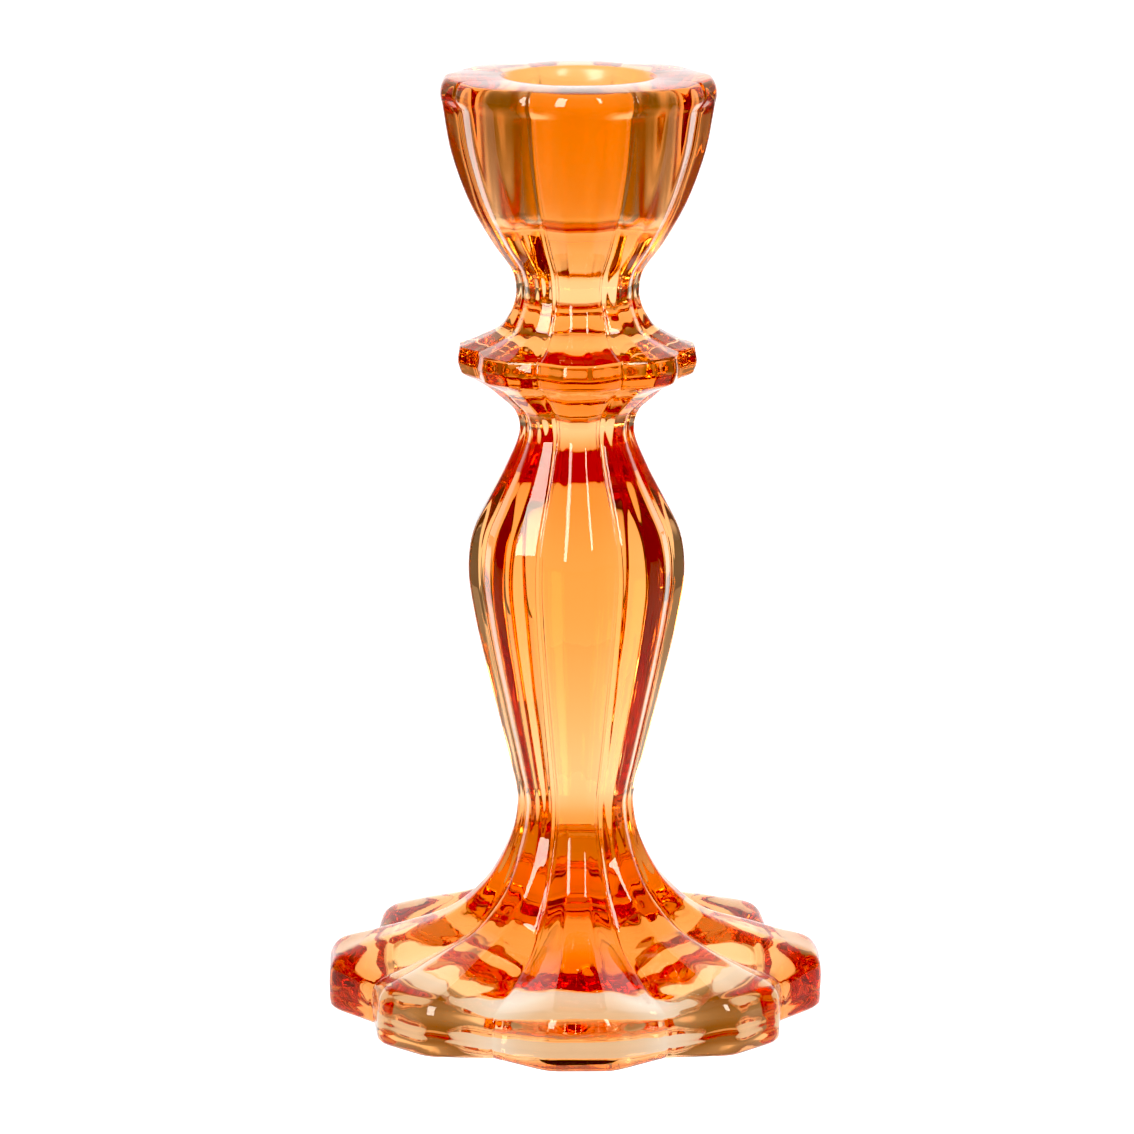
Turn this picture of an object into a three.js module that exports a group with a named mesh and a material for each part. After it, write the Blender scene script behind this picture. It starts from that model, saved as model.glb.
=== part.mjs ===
// Pressed-glass candlestick: eight-ribbed foot, baluster stem, scalloped knop and candle cup.
// Millimetres, +Z up, origin on the floor at the axis, one rib facing -Y.
import * as THREE from "three";

const RIBS = 8;
const COLUMNS = 48;
const RIB_HALF_ANGLE = THREE.MathUtils.degToRad(7.5);
const VALLEY_ANGLE = Math.PI / RIBS;
const CURVE_STEPS = 2;

const HEIGHT = 165;
const KNOP_TOP_Z = 125.4;
const KNOP_BASE_Z = 102.5;
const FOOT_TOP_Z = 35.5;

const NECK_RADIUS = 10.5;
const NECK_INSET = 0.7;
const UPPER_NECK_RADIUS = 11.3;

const FOOT_RADIUS = 44.3;
const FOOT_INSET = 5.3;
const FOOT_CHAMFER = 1.2;
const HOLLOW_RADIUS = 33;
const HOLLOW_DEPTH = 6;
const HOLLOW_STEPS = 10;

const KNOP_RADIUS = 21.3;
const KNOP_INSET = 1.9;

const BALUSTER_RADIUS = 19.15;
const BALUSTER_INSET = 1.35;

const RIM_RADIUS = 24.1;
const RIM_INSET = 0.9;
const SOCKET_RADIUS = 12;
const SOCKET_DEPTH = 24;
const SOCKET_FILLET = 3;
const MOUTH_RADIUS = 13.3;
const MOUTH_FLARE = 3.2;

const AMBER = 0xf2953a;

// A ring of the fluted outside: radius and height on a rib, and how far the valley between
// two ribs lies inside it and below it.
function ring(radius, z, inset, drop = 0) {
  return {
    rib: new THREE.Vector2(radius, z),
    valley: new THREE.Vector2(radius - inset, z - drop),
    fluted: true,
  };
}

// A plain round ring, for the socket, the hollow under the foot and the axis.
function roundRing(radius, z) {
  return { rib: new THREE.Vector2(radius, z), valley: new THREE.Vector2(radius, z), fluted: false };
}

// Smooth stretch through fluted rings.
function sweep(...rings) {
  const steps = (rings.length - 1) * CURVE_STEPS;
  const ribs = new THREE.SplineCurve(rings.map((r) => r.rib)).getPoints(steps);
  const valleys = new THREE.SplineCurve(rings.map((r) => r.valley)).getPoints(steps);
  return ribs.map((rib, i) => ({ rib, valley: valleys[i], fluted: true }));
}

// Quarter-ellipse stretch of plain rings about a centre, between two angles in degrees.
function roundSweep(centreR, centreZ, radiusR, radiusZ, from, to, steps) {
  const start = THREE.MathUtils.degToRad(from);
  const end = THREE.MathUtils.degToRad(to);
  const curve = new THREE.EllipseCurve(centreR, centreZ, radiusR, radiusZ, start, end, end < start);
  return curve.getPoints(steps).map((p) => roundRing(Math.max(p.x, 0), p.y));
}

// Flat-topped hollow with a soft shoulder and a steep wall, from the axis out to the floor.
function recess(radius, depth, steps) {
  return Array.from({ length: steps + 1 }, (_, i) => {
    const turn = (i / steps) * (Math.PI / 2);
    const down = i === steps ? 0 : Math.sqrt(Math.cos(turn));
    return roundRing(radius * Math.sqrt(Math.sin(turn)), depth * down);
  });
}

// Point of a ring at an angle off the nearest rib: a flat rib top, then a straight flank
// running down into the valley crease.
function outlineAt(station, offset) {
  const { rib, valley } = station;
  if (!station.fluted) {
    return rib;
  }
  if (offset <= RIB_HALF_ANGLE) {
    return new THREE.Vector2((rib.x * Math.cos(RIB_HALF_ANGLE)) / Math.cos(offset), rib.y);
  }
  const span = VALLEY_ANGLE - RIB_HALF_ANGLE;
  const across = (offset - RIB_HALF_ANGLE) / span;
  const ribPart = rib.x * Math.sin(offset - RIB_HALF_ANGLE);
  const valleyPart = valley.x * Math.sin(VALLEY_ANGLE - offset);
  const radius = (rib.x * valley.x * Math.sin(span)) / (ribPart + valleyPart);
  return new THREE.Vector2(radius, THREE.MathUtils.lerp(rib.y, valley.y, across));
}

// One section of the glass, turned from its stations and then fluted.
function section(name, ...stretches) {
  const stations = stretches
    .flat()
    .filter((s, i, all) => i === 0 || s.rib.distanceTo(all[i - 1].rib) > 0.001);
  const geometry = new THREE.LatheGeometry(stations.map((s) => s.rib), COLUMNS);
  const position = geometry.attributes.position;
  const pitch = (2 * Math.PI) / RIBS;
  for (let i = 0; i < position.count; i += 1) {
    const column = Math.floor(i / stations.length) % COLUMNS;
    const angle = (column / COLUMNS) * 2 * Math.PI;
    const offset = Math.abs(angle - Math.round(angle / pitch) * pitch);
    const point = outlineAt(stations[i % stations.length], offset);
    position.setXYZ(i, point.x * Math.sin(angle), point.y, point.x * Math.cos(angle));
  }
  geometry.rotateX(Math.PI / 2);
  const material = new THREE.MeshStandardMaterial({ color: AMBER, roughness: 0.05, metalness: 0 });
  const mesh = new THREE.Mesh(geometry, material);
  mesh.name = name;
  return mesh;
}

const stemFootRing = ring(NECK_RADIUS, FOOT_TOP_Z, NECK_INSET);
const stemTopRing = ring(NECK_RADIUS - 0.1, KNOP_BASE_Z, NECK_INSET);
const cupBaseRing = ring(UPPER_NECK_RADIUS, KNOP_TOP_Z, NECK_INSET);

// Foot: shallow hollow below, flat resting ring, upright scalloped edge, ridges sweeping up.
const foot = section(
  "foot",
  recess(HOLLOW_RADIUS, HOLLOW_DEPTH, HOLLOW_STEPS),
  [
    ring(FOOT_RADIUS - FOOT_CHAMFER, 0, FOOT_INSET - 0.3),
    ring(FOOT_RADIUS - 0.1, 2, FOOT_INSET),
  ],
  sweep(
    ring(FOOT_RADIUS - 0.1, 2, FOOT_INSET),
    ring(FOOT_RADIUS, 4.8, FOOT_INSET, 0.2),
    ring(FOOT_RADIUS - 0.3, 7.8, FOOT_INSET, 1.2),
    ring(FOOT_RADIUS - 1.5, 9.8, FOOT_INSET - 0.5, 2.3),
    ring(40.4, 11.0, 4.2, 2.6),
    ring(34.0, 12.9, 3.0, 2.9),
    ring(23.0, 16.6, 2.0, 2.4),
    ring(16.9, 21.4, 1.5, 1.4),
    ring(13.7, 25.8, 1.1, 0.8),
    ring(11.4, 31.0, 0.8, 0.2),
    stemFootRing,
  ),
  [roundRing(0, FOOT_TOP_Z)],
);

// Baluster: widest above the middle, tapering to the narrow neck over the foot.
const baluster = section(
  "baluster",
  [roundRing(0, FOOT_TOP_Z)],
  sweep(
    stemFootRing,
    ring(10.6, 38.9, 0.7),
    ring(11.8, 44.1, 0.8),
    ring(13.9, 52.4, 0.95),
    ring(16.2, 61.8, 1.15),
    ring(18.1, 70.6, 1.3),
    ring(BALUSTER_RADIUS, 78.4, BALUSTER_INSET),
    ring(18.4, 85.2, 1.3),
    ring(15.7, 90.9, 1.1),
    ring(12.4, 97.2, 0.85),
    stemTopRing,
  ),
  [roundRing(0, KNOP_BASE_Z)],
);

// Knop: eight-lobed flange with an upright edge and hollowed slopes to the two necks.
const knop = section(
  "knop",
  [roundRing(0, KNOP_BASE_Z)],
  sweep(
    stemTopRing,
    ring(11.0, 106.2, 0.8),
    ring(13.4, 108.7, 1.1),
    ring(16.4, 111.1, 1.5),
    ring(KNOP_RADIUS - 0.7, 113.1, KNOP_INSET),
  ),
  sweep(
    ring(KNOP_RADIUS - 0.7, 113.1, KNOP_INSET),
    ring(KNOP_RADIUS, 115.4, KNOP_INSET),
    ring(KNOP_RADIUS - 0.5, 118.2, KNOP_INSET),
  ),
  sweep(
    ring(KNOP_RADIUS - 0.5, 118.2, KNOP_INSET),
    ring(17.6, 119.4, 1.7),
    ring(14.0, 121.2, 1.3),
    ring(12.3, 123.3, 0.9),
    cupBaseRing,
  ),
  [roundRing(0, KNOP_TOP_Z)],
);

// Candle cup: fluted bowl under a plain collar, with the candle socket sunk from the top.
const candleCup = section(
  "candle_cup",
  [roundRing(0, KNOP_TOP_Z)],
  sweep(
    cupBaseRing,
    ring(10.9, 127.9, 0.7),
    ring(11.7, 131.4, 0.8),
    ring(15.2, 136.4, 1.1),
    ring(19.2, 143.6, 1.4),
    ring(22.2, 152.0, 1.55),
    ring(RIM_RADIUS - 0.4, 160.0, 1.6),
  ),
  sweep(
    ring(RIM_RADIUS - 0.4, 160.0, 1.6),
    ring(RIM_RADIUS, 161.7, RIM_INSET),
    ring(RIM_RADIUS - 0.2, 163.5, RIM_INSET),
    ring(RIM_RADIUS - 1.0, HEIGHT - 0.3, RIM_INSET),
    ring(RIM_RADIUS - 2.2, HEIGHT, RIM_INSET),
  ),
  [roundRing(MOUTH_RADIUS, HEIGHT)],
  roundSweep(MOUTH_RADIUS, HEIGHT - MOUTH_FLARE, MOUTH_RADIUS - SOCKET_RADIUS, MOUTH_FLARE, 90, 180, 4),
  roundSweep(
    SOCKET_RADIUS - SOCKET_FILLET,
    HEIGHT - SOCKET_DEPTH + SOCKET_FILLET,
    SOCKET_FILLET,
    SOCKET_FILLET,
    0,
    -90,
    4,
  ),
  [roundRing(0, HEIGHT - SOCKET_DEPTH)],
);

const group = new THREE.Group();
group.name = "glass_candlestick";
group.add(foot, baluster, knop, candleCup);

export default group;
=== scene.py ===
"""Amber pressed-glass candlestick as one skin of glass, with studio floor, light and camera."""

import math

import bpy
import numpy as np
from mathutils import Matrix, Vector, noise


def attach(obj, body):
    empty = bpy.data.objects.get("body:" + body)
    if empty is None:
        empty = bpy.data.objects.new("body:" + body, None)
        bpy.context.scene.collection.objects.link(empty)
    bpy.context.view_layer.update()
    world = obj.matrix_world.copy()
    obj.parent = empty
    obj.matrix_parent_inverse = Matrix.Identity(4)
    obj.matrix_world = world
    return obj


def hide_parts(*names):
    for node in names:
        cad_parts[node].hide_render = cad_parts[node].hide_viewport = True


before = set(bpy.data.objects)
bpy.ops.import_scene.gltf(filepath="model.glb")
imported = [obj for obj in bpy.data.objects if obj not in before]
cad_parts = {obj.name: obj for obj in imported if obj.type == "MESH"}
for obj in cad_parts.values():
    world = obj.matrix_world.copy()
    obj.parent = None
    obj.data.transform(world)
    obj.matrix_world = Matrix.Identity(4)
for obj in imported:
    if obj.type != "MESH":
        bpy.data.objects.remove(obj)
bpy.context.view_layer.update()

# ---------------------------------------------------------------- the glass, millimetres and radians

RIBS = 8
RIB_HALF = math.radians(7.5)
VALLEY = math.pi / RIBS
COLUMNS = RIBS * 40
FINE_COLUMNS = RIBS * 128
CROWDING = 0.6  # how far the columns bunch up at the valleys
CURVE_STEPS = 6

CREASE_DEPTH = 0.3
CREASE_WIDTH = 0.45
HOLLOW_RADIUS = 33.0
HOLLOW_DEPTH = 6.0
HOLLOW_STEPS = 24
SOCKET_FLOOR = 141.0
SOCKET_REACH = 14.5

# Unevenness of the pressed surface: middle depth, and wavelength across and up the glass.
BROAD_RIPPLE = (0.1, 11, 22)
FINE_RIPPLE = (0.035, 3.6, 7)
CHILL_WRINKLE = (0.04, 4, 0.9)
FINE_SHIFT = 40
# It sets in just above the floor.
RIPPLE_BASE = 0.3
RIPPLE_RISE = 2.0
# Foot and knop are more uneven: how many times, up to what height, and how far round the knop.
UNEVEN = 2.8
UNEVEN_FOOT_TOP = 22
UNEVEN_KNOP = 112
UNEVEN_KNOP_HALF = 10

# Painted shade: a redder, darker tint on cup wall and foot edge, standing in for the deeper colour of
# long light paths in the glass: strength, and where and how fast it comes and goes.
PAINTED_SHADE_CUP = 0.5
PAINTED_SHADE_CUP_BASE = 136
PAINTED_SHADE_CUP_RISE = 10
PAINTED_SHADE_CUP_TOP = 164
PAINTED_SHADE_CUP_FALL = 3
PAINTED_SHADE_FOOT = 0.6
PAINTED_SHADE_FOOT_REACH = 36
PAINTED_SHADE_FOOT_RISE = 5
# Painted shade bands, a darker redder tint, at the shoulder, lower neck and knop: strength, height
# and half-height.
PAINTED_SHADE_BANDS = ((0.85, 95, 8), (0.9, 31, 8), (0.6, 113, 8))

GLASS_IOR = 1.5
REFLECTION_TINT = (1.0, 0.72, 0.5, 1)
# Colour of the painted shade, a redder tint mixed into the base colour.
PAINTED_SHADE_COLOUR = (0.84, 0.42, 0.13, 1)
ABSORPTION_COLOUR = (0.95, 0.613, 0.15, 1)
ABSORPTION_DENSITY = 88
ROUGH_FROM = 0.92
SOCKET_ROUGHNESS = 0.25

# ---------------------------------------------------------------- the studio, metres and degrees

BACKDROP = 1.55
BACKDROP_TOP = 80
BACKDROP_BLUR = 8
# Share of the backdrop's brightness, from straight in front (0) round to straight behind (1).
SKY = ((0.001, 0.25), (0.3, 0.2), (0.5, 0.25), (0.75, 0.3), (0.88, 0.4), (0.935, 1.0), (0.999, 1.0))
CEILING = 0.6
CEILING_FROM = 50
CEILING_FULL = 65

FLOOR_RADIUS = 6.0
FLOOR_CORNERS = 64
FLOOR_Z = -0.0002
# Brightness in front of the glass, under it, in the strip behind it, and beside that strip.
FLOOR_FRONT = 0.06
FLOOR_UNDER = 1.0
FLOOR_GLOW = 1.6
FLOOR_SIDE = 0.2
# Where one of them gives way to the next, and how fast the strip widens.
FLOOR_FRONT_EDGE = (-0.07, -0.02)
FLOOR_UNDER_EDGE = (0.03, 0.06)
FLOOR_STRIP_EDGE = (0.05, 0.08)
FLOOR_SPREAD = 0.6

SOFTBOX_COLOUR = (0.62, 0.8, 1.0)
SOFTBOX_DISTANCE = 1.2
SOFTBOX_TARGET = (0, 0, 0.08)

CAMERA_LENS = 176.8
CAMERA_SENSOR = 36.0
CAMERA_BACK = 0.95
CAMERA_HEIGHT = 0.29
CAMERA_DOWN = 12.55
CAMERA_ROUND = -1.5
CAMERA_YAW = 0.1
CAMERA_ROLL = 0.2


# ---------------------------------------------------------------- shape helpers, millimetres


def spline(points, steps):
    """Catmull-Rom through rows of numbers, with the same number of steps in each interval."""
    pts = np.asarray(points, float)
    ends = np.vstack([2 * pts[0] - pts[1], pts, 2 * pts[-1] - pts[-2]])
    out = []
    for i in range(len(pts) - 1):
        p0, p1, p2, p3 = ends[i : i + 4]
        for t in np.arange(steps) / steps:
            out.append(
                0.5
                * (
                    2 * p1
                    + (p2 - p0) * t
                    + (2 * p0 - 5 * p1 + 4 * p2 - p3) * t**2
                    + (3 * p1 - p0 - 3 * p2 + p3) * t**3
                )
            )
    out.append(pts[-1])
    return np.array(out)


def ring(radius, z, inset, drop=0.0, soft=0.35):
    """A fluted ring: rib radius, height, valley inset and drop, and edge rounding."""
    return [radius, z, radius - inset, z - drop, soft]


def plain(radius, z):
    """A round ring."""
    return [radius, z, radius, z, 0.0]


def arc(centre_r, centre_z, radius_r, radius_z, start, end, steps):
    """Round rings along a quarter ellipse, angles in degrees."""
    angles = np.radians(np.linspace(start, end, steps + 1))
    return [
        plain(max(centre_r + radius_r * math.cos(a), 0.0), centre_z + radius_z * math.sin(a))
        for a in angles
    ]


def outline(station, angles):
    """Radius and height round one ring: flat rib tops, straight flanks, creased valleys."""
    rib_r, rib_z, valley_r, valley_z, soft = station
    if rib_r == valley_r and rib_z == valley_z:
        return np.full_like(angles, rib_r), np.full_like(angles, rib_z)
    fine = np.arange(FINE_COLUMNS) / FINE_COLUMNS * 2 * math.pi
    pitch = 2 * math.pi / RIBS
    off = np.abs(fine - np.round(fine / pitch) * pitch)
    span = VALLEY - RIB_HALF
    across = np.clip((off - RIB_HALF) / span, 0, 1)
    flank = rib_r * valley_r * math.sin(span) / (
        rib_r * np.sin(np.clip(off - RIB_HALF, 0, None)) + valley_r * np.sin(VALLEY - off)
    )
    top = rib_r * math.cos(RIB_HALF) / np.cos(off)
    sigma = soft / max(rib_r, 1.0)
    radius = blur(np.where(off <= RIB_HALF, top, flank), sigma)
    radius -= CREASE_DEPTH * np.exp(-(((VALLEY - off) * rib_r / CREASE_WIDTH) ** 2))
    height = blur(rib_z + (valley_z - rib_z) * across, sigma)
    wrapped = np.append(fine, 2 * math.pi)
    return (
        np.interp(angles, wrapped, np.append(radius, radius[0])),
        np.interp(angles, wrapped, np.append(height, height[0])),
    )


def blur(values, sigma):
    """Rounds the corners of a closed outline with a Gaussian of sigma radians."""
    freq = np.fft.rfftfreq(len(values), 1 / len(values))
    return np.fft.irfft(np.fft.rfft(values) * np.exp(-0.5 * (freq * sigma) ** 2), len(values))


def swell(point, unevenness, shift=0.0):
    """Depth of one kind of unevenness at a point, from nothing to twice its middle depth."""
    depth, across, along = unevenness
    x, y, z = point
    return depth * (1 + noise.noise(Vector((x / across, y / across, z / along + shift))))


def in_socket(reach, z):
    """True in the chilled socket and its flared mouth."""
    return (reach < SOCKET_REACH) & (z > SOCKET_FLOOR - 0.1)


def ripple(mesh):
    """Sinks the surface unevenly, by at most about 0.3 mm on stem and cup, 0.6 on foot and knop."""
    count = len(mesh.vertices)
    points, normals = np.empty(count * 3), np.empty(count * 3)
    mesh.vertices.foreach_get("co", points)
    mesh.vertex_normals.foreach_get("vector", normals)
    points, normals = points.reshape(-1, 3), normals.reshape(-1, 3)
    for i, point in enumerate(points * 1000):
        x, y, z = point
        off_floor = min(max((z - RIPPLE_BASE) / RIPPLE_RISE, 0.0), 1.0)
        foot = math.exp(-((z / UNEVEN_FOOT_TOP) ** 4))
        knop = math.exp(-(((z - UNEVEN_KNOP) / UNEVEN_KNOP_HALF) ** 4))
        uneven = 1 + (UNEVEN - 1) * max(foot, knop)
        depth = uneven * (swell(point, BROAD_RIPPLE) + swell(point, FINE_RIPPLE, FINE_SHIFT))
        if in_socket(math.hypot(x, y), z):
            depth += swell(point, CHILL_WRINKLE)
        points[i] -= normals[i] * (off_floor * depth / 1000)
    mesh.vertices.foreach_set("co", points.ravel())
    mesh.update()


def painted_shade_and_chill_depth(xyz):
    """Depth of painted shade, a redder tint standing in for the deeper colour of long light paths: 1
    in the chilled socket, less where the glass gathers and looks redder.
    """
    reach, z = np.hypot(xyz[:, 0], xyz[:, 1]), xyz[:, 2]
    cup = PAINTED_SHADE_CUP * np.clip((z - PAINTED_SHADE_CUP_BASE) / PAINTED_SHADE_CUP_RISE, 0, 1)
    cup *= np.clip((PAINTED_SHADE_CUP_TOP - z) / PAINTED_SHADE_CUP_FALL, 0, 1)
    foot_edge = PAINTED_SHADE_FOOT * np.clip((reach - PAINTED_SHADE_FOOT_REACH) / PAINTED_SHADE_FOOT_RISE, 0, 1)
    zones = [cup, foot_edge]
    for strength, height, half in PAINTED_SHADE_BANDS:
        zones.append(strength * np.exp(-(((z - height) / half) ** 2)))
    return np.where(in_socket(reach, z), 1.0, np.max(zones, axis=0))


def skin(stations):
    """Points and faces of a closed skin through rings that start and end on the axis."""
    turn = np.arange(COLUMNS) / COLUMNS * 2 * math.pi
    angles = turn + CROWDING * np.sin(RIBS * turn) / RIBS
    on_axis = [station[0] < 1e-6 for station in stations]
    verts, faces, first = [], [], []
    for station, centre in zip(stations, on_axis):
        first.append(len(verts))
        if centre:
            verts.append((0.0, 0.0, station[1]))
            continue
        radius, height = outline(station, angles)
        verts.extend(zip(radius * np.sin(angles), -radius * np.cos(angles), height))
    for i in range(len(stations) - 1):
        a, b = first[i], first[i + 1]
        for c in range(COLUMNS):
            d = (c + 1) % COLUMNS
            if on_axis[i]:
                faces.append((a, b + d, b + c))
            elif on_axis[i + 1]:
                faces.append((a + c, a + d, b))
            else:
                faces.append((a + c, a + d, b + d, b + c))
    return np.array(verts), faces


def lathe(name, stations, material):
    """One closed piece of glass through all its rings."""
    xyz, faces = skin(stations)
    mesh = bpy.data.meshes.new(name)
    mesh.from_pydata([tuple(v) for v in xyz / 1000], [], faces)
    ripple(mesh)
    mesh.materials.append(material)
    mesh.shade_smooth()
    # Depth of painted shade, full in the rough chilled socket, stored on the points.
    painted_shade_and_chill = mesh.attributes.new("painted_shade_and_chill", "FLOAT", "POINT")
    painted_shade_and_chill.data.foreach_set("value", painted_shade_and_chill_depth(xyz).astype(np.float32))
    obj = bpy.data.objects.new(name, mesh)
    bpy.context.scene.collection.objects.link(obj)
    return obj


# ---------------------------------------------------------------- materials


def new_material(name):
    """A node material with nothing in it yet."""
    mat = bpy.data.materials.new(name)
    mat.use_nodes = True
    mat.node_tree.nodes.clear()
    return mat, mat.node_tree


def fade(tree, value, start, end, low, high, smooth=True):
    """Turns value, from start to end, into low to high. Low and high are numbers or sockets."""
    node = tree.nodes.new("ShaderNodeMapRange")
    node.interpolation_type = "SMOOTHSTEP" if smooth else "LINEAR"
    tree.links.new(value, node.inputs["Value"])
    node.inputs["From Min"].default_value = start
    node.inputs["From Max"].default_value = end
    for name, level in (("To Min", low), ("To Max", high)):
        if isinstance(level, bpy.types.NodeSocket):
            tree.links.new(level, node.inputs[name])
        else:
            node.inputs[name].default_value = level
    return node.outputs["Result"]


def white_to_camera(tree, brightness):
    """The given brightness for the glass, and the backdrop's white wherever the camera looks."""
    path = tree.nodes.new("ShaderNodeLightPath")
    return fade(tree, path.outputs["Is Camera Ray"], 0, 1, brightness, BACKDROP, smooth=False)


def glass_material():
    """Amber glass that absorbs inside, is redder where painted shade is laid on, and is rough in the
    socket.
    """
    mat, tree = new_material("amber_glass")
    nodes, links = tree.nodes, tree.links
    out = nodes.new("ShaderNodeOutputMaterial")
    bsdf = nodes.new("ShaderNodeBsdfPrincipled")
    bsdf.inputs["Base Color"].default_value = (1, 1, 1, 1)
    bsdf.inputs["Transmission Weight"].default_value = 1
    bsdf.inputs["IOR"].default_value = GLASS_IOR
    bsdf.inputs["Specular Tint"].default_value = REFLECTION_TINT
    painted_shade_and_chill = nodes.new("ShaderNodeAttribute")
    painted_shade_and_chill.attribute_name = "painted_shade_and_chill"
    depth = painted_shade_and_chill.outputs["Fac"]
    # Only the socket, where the painted shade is full, is rough.
    rough = fade(tree, depth, ROUGH_FROM, 1, 0, SOCKET_ROUGHNESS, smooth=False)
    links.new(rough, bsdf.inputs["Roughness"])
    # Painted shade: the attribute mixes a redder, darker base colour in.
    tint = nodes.new("ShaderNodeMix")
    tint.data_type = "RGBA"
    tint.inputs["A"].default_value = (1, 1, 1, 1)
    tint.inputs["B"].default_value = PAINTED_SHADE_COLOUR
    links.new(depth, tint.inputs["Factor"])
    links.new(tint.outputs["Result"], bsdf.inputs["Base Color"])
    volume = nodes.new("ShaderNodeVolumeAbsorption")
    volume.inputs["Color"].default_value = ABSORPTION_COLOUR
    volume.inputs["Density"].default_value = ABSORPTION_DENSITY
    links.new(bsdf.outputs["BSDF"], out.inputs["Surface"])
    links.new(volume.outputs["Volume"], out.inputs["Volume"])
    return mat


# ---------------------------------------------------------------- rings, from the hollow up and round


def through(*rings):
    """Smooth stretch through fluted rings, without its last one."""
    return spline(rings, CURVE_STEPS).tolist()[:-1]


def recess(radius, depth, steps):
    """Flat-topped hollow with a soft shoulder and a steep wall, from the axis out to the floor."""
    rings = []
    for turn in np.linspace(0, math.pi / 2, steps + 1)[:-1]:
        rings.append(plain(radius * math.sin(turn) ** 0.5, depth * math.cos(turn) ** 0.5))
    return rings + [plain(radius, 0.0)]


STATIONS = (
    recess(HOLLOW_RADIUS, HOLLOW_DEPTH, HOLLOW_STEPS)
    + [ring(43.1, 0.0, 5.0, 0.0, 1.2), ring(43.8, 0.6, 5.2, 0.0, 1.2)]
    # Foot's edge, foot, lower neck, baluster and lower slope of the knop.
    + through(
        ring(44.2, 2.0, 5.3, 0.0, 1.2),
        ring(44.3, 4.8, 5.3, 0.2, 1.2),
        ring(44.0, 7.8, 5.3, 1.2, 1.2),
        ring(42.8, 9.8, 4.8, 2.3, 1.2),
        ring(40.4, 11.0, 4.2, 2.6, 1.1),
        ring(34.0, 12.9, 3.0, 2.9, 0.9),
        ring(23.0, 16.6, 2.0, 2.4, 0.7),
        ring(16.9, 21.4, 1.5, 1.4, 0.5),
        ring(13.7, 25.8, 1.1, 0.8, 0.5),
        ring(11.4, 31.0, 0.8, 0.2, 0.4),
        ring(10.5, 35.5, 0.7),
        ring(10.6, 38.9, 0.7),
        ring(11.8, 44.1, 0.8),
        ring(13.9, 52.4, 0.95),
        ring(16.2, 61.8, 1.15),
        ring(18.1, 70.6, 1.3),
        ring(19.15, 78.4, 1.35),
        ring(18.4, 85.2, 1.3),
        ring(15.7, 90.9, 1.1),
        ring(12.4, 97.2, 0.85),
        ring(10.4, 102.5, 0.7),
        ring(11.0, 106.2, 0.8),
        ring(13.4, 108.7, 1.1),
        ring(16.4, 111.1, 1.5, 0, 0.5),
        ring(20.6, 113.1, 1.9, 0, 0.6),
    )
    # Knop's upright edge.
    + through(
        ring(20.7, 113.3, 1.9, 0, 0.6),
        ring(21.3, 115.4, 1.9, 0, 0.6),
        ring(20.9, 118.0, 1.9, 0, 0.6),
    )
    # Upper slope of the knop, upper neck and bowl of the cup.
    + through(
        ring(20.8, 118.2, 1.9, 0, 0.6),
        ring(17.6, 119.4, 1.7, 0, 0.5),
        ring(14.0, 121.2, 1.3, 0, 0.4),
        ring(12.3, 123.3, 0.9),
        ring(11.3, 125.4, 0.7),
        ring(10.9, 127.9, 0.7),
        ring(11.7, 131.4, 0.8),
        ring(15.2, 136.4, 1.1),
        ring(19.2, 143.6, 1.4),
        ring(22.2, 152.0, 1.55),
        ring(23.7, 160.0, 1.6),
    )
    # Plain collar and flat top.
    + through(
        ring(23.7, 160.0, 1.6),
        ring(24.1, 161.7, 0.9, 0, 0.8),
        ring(23.9, 163.5, 0.9, 0, 0.8),
        ring(23.1, 164.7, 0.9, 0, 0.8),
        ring(21.9, 165.0, 0.9, 0, 0.8),
    )
    + [ring(21.9, 165.0, 0.9, 0, 0.8)]
    # Flared mouth, socket wall and its rounded foot.
    + arc(13.3, 161.8, 1.3, 3.2, 90, 180, 10)
    + arc(9.0, 144.0, 3.0, 3.0, 0, -90, 8)
    + [plain(0, SOCKET_FLOOR)]
)
glass = lathe("pressed_glass", STATIONS, glass_material())
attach(glass, "root")
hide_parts("foot", "baluster", "knop", "candle_cup")

# ---------------------------------------------------------------- studio


def build_floor():
    """A round floor, a hair below the glass."""
    mesh = bpy.data.meshes.new("studio_floor")
    corners = [
        (FLOOR_RADIUS * math.cos(a), FLOOR_RADIUS * math.sin(a), FLOOR_Z)
        for a in np.arange(FLOOR_CORNERS) / FLOOR_CORNERS * 2 * math.pi
    ]
    mesh.from_pydata(corners, [], [tuple(range(len(corners)))])
    mesh.materials.append(floor_material())
    floor = bpy.data.objects.new("studio_floor", mesh)
    bpy.context.scene.collection.objects.link(floor)


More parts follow.
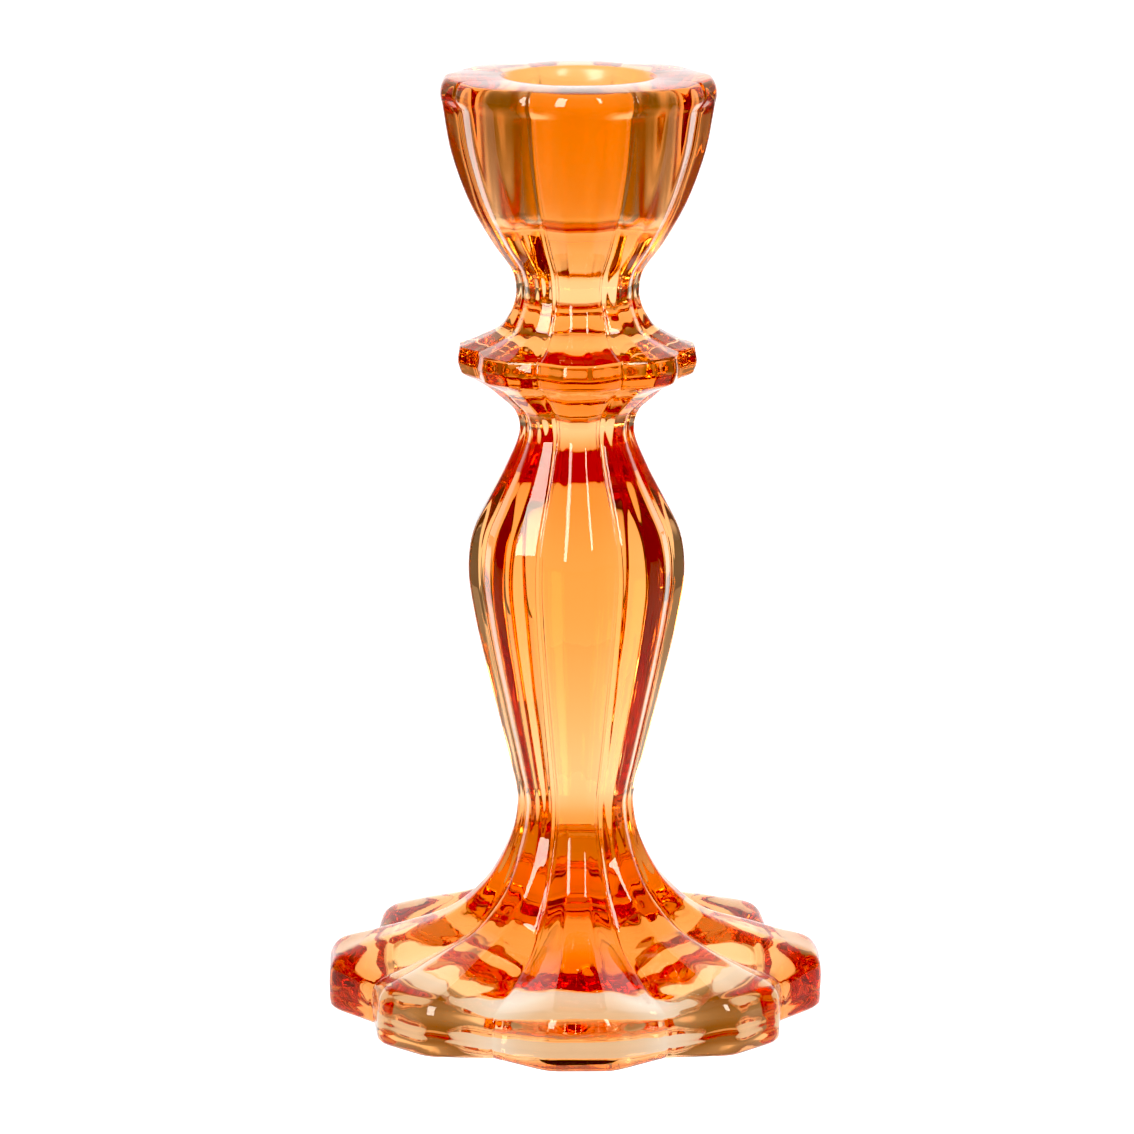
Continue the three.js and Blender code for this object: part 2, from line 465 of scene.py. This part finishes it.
def floor_material():
    """Bright under the glass and in a widening strip behind it, dim beside it and dark in front."""
    mat, tree = new_material("studio_floor")
    nodes, links = tree.nodes, tree.links
    out = nodes.new("ShaderNodeOutputMaterial")
    bsdf = nodes.new("ShaderNodeBsdfPrincipled")
    bsdf.inputs["Base Color"].default_value = (0.05, 0.05, 0.05, 1)
    bsdf.inputs["Roughness"].default_value = 1.0
    bsdf.inputs["Specular IOR Level"].default_value = 0.0
    bsdf.inputs["Emission Color"].default_value = (1, 1, 1, 1)
    split = nodes.new("ShaderNodeSeparateXYZ")
    links.new(nodes.new("ShaderNodeTexCoord").outputs["Object"], split.inputs["Vector"])
    behind = split.outputs["Y"]
    beside = nodes.new("ShaderNodeMath")
    beside.operation = "ABSOLUTE"
    links.new(split.outputs["X"], beside.inputs[0])
    strip = nodes.new("ShaderNodeMath")
    strip.operation = "MULTIPLY_ADD"
    strip.inputs[1].default_value = -FLOOR_SPREAD
    links.new(behind, strip.inputs[0])
    links.new(beside.outputs["Value"], strip.inputs[2])
    far = fade(tree, strip.outputs["Value"], *FLOOR_STRIP_EDGE, FLOOR_GLOW, FLOOR_SIDE)
    near = fade(tree, behind, *FLOOR_UNDER_EDGE, FLOOR_UNDER, far)
    glow = fade(tree, behind, *FLOOR_FRONT_EDGE, FLOOR_FRONT, near)
    links.new(white_to_camera(tree, glow), bsdf.inputs["Emission Strength"])
    links.new(bsdf.outputs["BSDF"], out.inputs["Surface"])
    return mat


def sky_round(tree, direction):
    """The backdrop's share of brightness in a direction, by how far round it is."""
    nodes, links = tree.nodes, tree.links
    flat = nodes.new("ShaderNodeVectorMath")
    flat.operation = "MULTIPLY"
    flat.inputs[1].default_value = (1, 1, 0)
    unit = nodes.new("ShaderNodeVectorMath")
    unit.operation = "NORMALIZE"
    toward = nodes.new("ShaderNodeVectorMath")
    toward.operation = "DOT_PRODUCT"
    toward.inputs[1].default_value = (0, 1, 0)
    links.new(direction, flat.inputs[0])
    links.new(flat.outputs["Vector"], unit.inputs[0])
    links.new(unit.outputs["Vector"], toward.inputs[0])
    share = nodes.new("ShaderNodeValToRGB")
    stops = share.color_ramp.elements
    for position, value in SKY:
        stop = stops.new(position)
        stop.color = (value, value, value, 1)
    stops.remove(stops[0])
    stops.remove(stops[-1])
    links.new(fade(tree, toward.outputs["Value"], -1, 1, 0, 1, smooth=False), share.inputs["Fac"])
    return share.outputs["Color"]


def sine(degrees):
    """Height, from -1 to 1, of a direction that points so many degrees up."""
    return math.sin(math.radians(degrees))


def build_world():
    """A backdrop behind the glass, a dimmer room and ceiling, and white wherever the camera looks."""
    world = bpy.data.worlds.new("studio")
    bpy.context.scene.world = world
    world.use_nodes = True
    tree = world.node_tree
    nodes, links = tree.nodes, tree.links
    direction = nodes.new("ShaderNodeTexCoord").outputs["Generated"]
    split = nodes.new("ShaderNodeSeparateXYZ")
    links.new(direction, split.inputs["Vector"])
    up = split.outputs["Z"]
    above, below = sine(BACKDROP_TOP + BACKDROP_BLUR), sine(BACKDROP_TOP - BACKDROP_BLUR)
    below_top = fade(tree, up, above, below, 0, 1)
    lit = nodes.new("ShaderNodeMath")
    lit.operation = "MULTIPLY"
    links.new(sky_round(tree, direction), lit.inputs[0])
    links.new(below_top, lit.inputs[1])
    ceiling = fade(tree, up, sine(CEILING_FROM), sine(CEILING_FULL), 0, CEILING)
    level = fade(tree, lit.outputs["Value"], 0, 1, ceiling, BACKDROP, smooth=False)
    background = nodes["Background"]
    background.inputs["Color"].default_value = (1, 1, 1, 1)
    links.new(white_to_camera(tree, level), background.inputs["Strength"])


def softbox(name, azimuth, elevation, width, height, power):
    """Soft light aimed at the middle of the glass. Azimuth 0 is in front, positive to the right."""
    light = bpy.data.lights.new(name, "AREA")
    light.shape = "RECTANGLE"
    light.size, light.size_y = width, height
    light.energy = power
    light.color = SOFTBOX_COLOUR
    obj = bpy.data.objects.new(name, light)
    bpy.context.scene.collection.objects.link(obj)
    a, e = math.radians(azimuth), math.radians(elevation)
    back = Vector((math.sin(a) * math.cos(e), -math.cos(a) * math.cos(e), math.sin(e)))
    obj.location = Vector(SOFTBOX_TARGET) + back * SOFTBOX_DISTANCE
    obj.rotation_mode = "QUATERNION"
    obj.rotation_quaternion = (-back).to_track_quat("-Z", "Y")


def build_camera():
    """A long lens in front of the glass, a little above it and looking down."""
    data = bpy.data.cameras.new("camera")
    data.lens, data.sensor_width = CAMERA_LENS, CAMERA_SENSOR
    data.clip_start, data.clip_end = 0.05, 50
    cam = bpy.data.objects.new("camera", data)
    bpy.context.scene.collection.objects.link(cam)
    turn = Matrix.Rotation(math.radians(CAMERA_ROUND), 4, "Z")
    place = Matrix.Translation((0, -CAMERA_BACK, CAMERA_HEIGHT))
    yaw = Matrix.Rotation(math.radians(CAMERA_YAW), 4, "Z")
    aim = Matrix.Rotation(math.radians(90 - CAMERA_DOWN), 4, "X")
    roll = Matrix.Rotation(math.radians(CAMERA_ROLL), 4, "Z")
    cam.matrix_world = turn @ place @ yaw @ aim @ roll
    bpy.context.scene.camera = cam


build_floor()
build_world()
softbox("softbox_left", -30, 30, 0.5, 0.95, 36)
softbox("softbox_right", 26, 38, 0.22, 0.75, 14)
build_camera()

scene = bpy.context.scene
scene.cycles.max_bounces = 32
scene.cycles.transmission_bounces = 32
scene.cycles.glossy_bounces = 16
scene.cycles.transparent_max_bounces = 32
scene.view_settings.view_transform = "Standard"
scene.view_settings.exposure = -0.1
scene.view_settings.use_curve_mapping = True
scene.view_settings.curve_mapping.black_level = (0.03, 0.03, 0.03)

bpy.context.view_layer.update()
